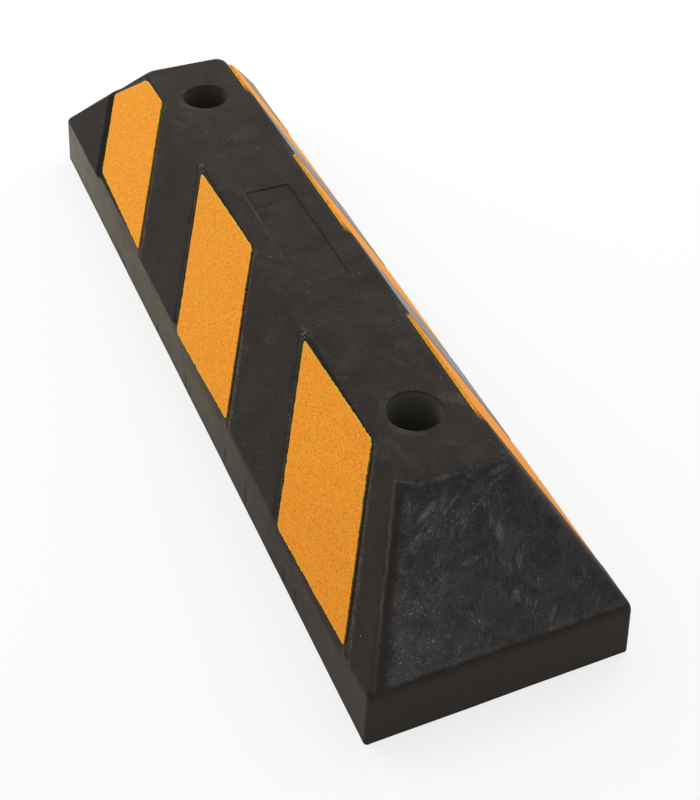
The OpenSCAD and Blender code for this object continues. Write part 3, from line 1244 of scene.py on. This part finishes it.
def sheetMaterial():
    material, shader, place = newMaterial("reflectiveSheet")
    fine = grain(place, 1050, 2, 0.7)
    coarse = grain(place, 420, 2, 0.6)
    patch = grain(place, 60, 3, 0.6)
    x, y, z = axes(place)
    back = y.step(-0.001, 0.001)
    mixed = (fine - 0.5) * 1.3 + (coarse - 0.5) * 0.25 + (patch - 0.5) * 0.12
    mixed = mixed + sheet["level"] - x * sheet["turn"] + back * 0.012
    stops = [(level, sheet[name]) for name, level in sheet["stops"].items()]
    colour = mixed.node("ShaderNodeValToRGB", {"stops": stops}, {0: mixed})
    beads = grain(mapped(place, shift=(5, 3, 1)), 1000, 2, 0.7)
    colour = ((1 - beads.step(0.34, 0.5)) * sheet["dotShare"]).blend(colour, sheet["dot"])
    colour = (beads.step(0.53, 0.68) * sheet["glintShare"]).blend(colour, sheet["glint"])
    # painted shade: the strips' lower part towards the near end is darkened
    colour = ((x - z * 2).step(0, 0.1) * sheet["shadeShare"]).blend(colour, sheet["dot"])
    pits = flecks(place, 520, 0.24, 0.82)
    colour = (pits * sheet["pitShare"]).blend(colour, sheet["pit"])

    # cut edges; on the back strips only the lower part of the cut shows the greener colour
    edge = place.node("ShaderNodeAttribute", {"attribute_name": "cutEdge"}, {}, 2)
    frayed = (edge + (coarse - 0.5) * 1.7 + (fine - 0.5) * 0.9).step(0.42, 0.8)
    sunk = (sideBase - y) * math.sin(sideSlope) - (z - baseTop) * math.cos(sideSlope)
    rooted = (sunk + (coarse - 0.5) * 0.0022).step(0.0012, 0.0017)
    frayed = frayed * (1 - back * (1 - rooted)) * (0.45 + z.step(0.08, 0.094) * 0.45)
    connect(shader, "Base Color", frayed.blend(colour, sheet["edge"]))
    connect(shader, "Roughness", sheet["roughness"] + (fine - 0.5) * 0.2)
    connect(shader, "Coat Weight", back * sheet["shine"])
    finishWith(shader, sheet, fine * 0.8 + coarse * 0.4)
    return material


def dress(piece, material, slot, *nodes):
    piece.data.materials.clear()
    piece.data.materials.append(material)
    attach(piece, "root")
    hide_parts(*nodes)


dress(rubberBlock, rubberMaterial(), "rubber", "body")
sheetFinish = sheetMaterial()
for node, piece in strips.items():
    dress(piece, sheetFinish, "strip", node)
print("materials made")

# Floor, light and camera

stage = {
    "floorSize": 12,
    "floorTone": (0.9, 0.9, 0.9, 1),
    "floorRough": 0.9,
    "floorSpecular": 0.1,
    "floorWhite": 0.76,      # how far the floor near the block is turned to the background's white
    "whiteFrom": 0.3,       # from here outwards the floor fades to all white
    "whiteTo": 1.4,
    "worldLevel": 0.56,
    # area lamps: name, place, size, power
    "lamps": [
        ("keyLamp", (-0.5, 1.00, 1.2), 1.3, 11),
        ("sideLamp", (-1.05, -0.8, 1.1), 1.4, 14),
    ],
}
view = {
    "place": Vector((0.60616, -0.23658, 0.57299)),
    "aim": Vector((0.096512, -0.006046, 0.05)),
    "roll": math.radians(1.612),
    "lens": 61.757,
}


def plainlySeen(tree):
    # 1 for rays from the camera and for mirror-like rays
    rays = Wire(tree, None).node("ShaderNodeLightPath")
    seen = Wire(tree, rays.socket.node.outputs["Is Camera Ray"])
    for name in ("Is Glossy Ray", "Is Transmission Ray"):
        seen = seen.most(Wire(tree, rays.socket.node.outputs[name]))
    return seen


def makeFloor():
    bpy.ops.mesh.primitive_plane_add(size=stage["floorSize"], location=(0, 0, 0))
    floor = bpy.context.object
    floor.name = "floor"
    material, shader, place = newMaterial("paleFloor")
    shader.inputs["Base Color"].default_value = stage["floorTone"]
    shader.inputs["Roughness"].default_value = stage["floorRough"]
    shader.inputs["Specular IOR Level"].default_value = stage["floorSpecular"]
    tree = material.node_tree
    white = lengthOf(place).step(stage["whiteFrom"], stage["whiteTo"])
    white = white * (1 - stage["floorWhite"]) + stage["floorWhite"]
    glow = place.node("ShaderNodeEmission", {}, {"Color": (1, 1, 1, 1), "Strength": 1})
    inputs = {0: white * plainlySeen(tree), 1: Wire(tree, shader.outputs[0]), 2: glow}
    mix = place.node("ShaderNodeMixShader", {}, inputs)
    tree.links.new(mix.socket, tree.nodes["Material Output"].inputs["Surface"])
    floor.data.materials.append(material)


def makeWorld():
    world = bpy.data.worlds.new("paleRoom")
    bpy.context.scene.world = world
    world.use_nodes = True
    tree = world.node_tree
    background = tree.nodes["Background"]
    background.inputs["Color"].default_value = (1, 1, 1, 1)
    level = plainlySeen(tree) * (1 - stage["worldLevel"]) + stage["worldLevel"]
    tree.links.new(level.socket, background.inputs["Strength"])


def makeLamp(name, place, size, power):
    bpy.ops.object.light_add(type="AREA", location=place)
    lamp = bpy.context.object
    lamp.name = name
    lamp.data.size = size
    lamp.data.energy = power
    lamp.rotation_euler = (-Vector(place)).to_track_quat("-Z", "Y").to_euler()


def makeCamera():
    bpy.ops.object.camera_add(location=view["place"])
    camera = bpy.context.object
    look = (view["aim"] - view["place"]).to_track_quat("-Z", "Y").to_matrix().to_4x4()
    turned = look @ Matrix.Rotation(view["roll"], 4, "Z")
    camera.matrix_world = Matrix.Translation(view["place"]) @ turned
    camera.data.lens = view["lens"]
    bpy.context.scene.camera = camera


makeFloor()
makeWorld()
for lamp in stage["lamps"]:
    makeLamp(*lamp)
makeCamera()
bpy.context.scene.view_settings.view_transform = "Standard"

print("scene ready")
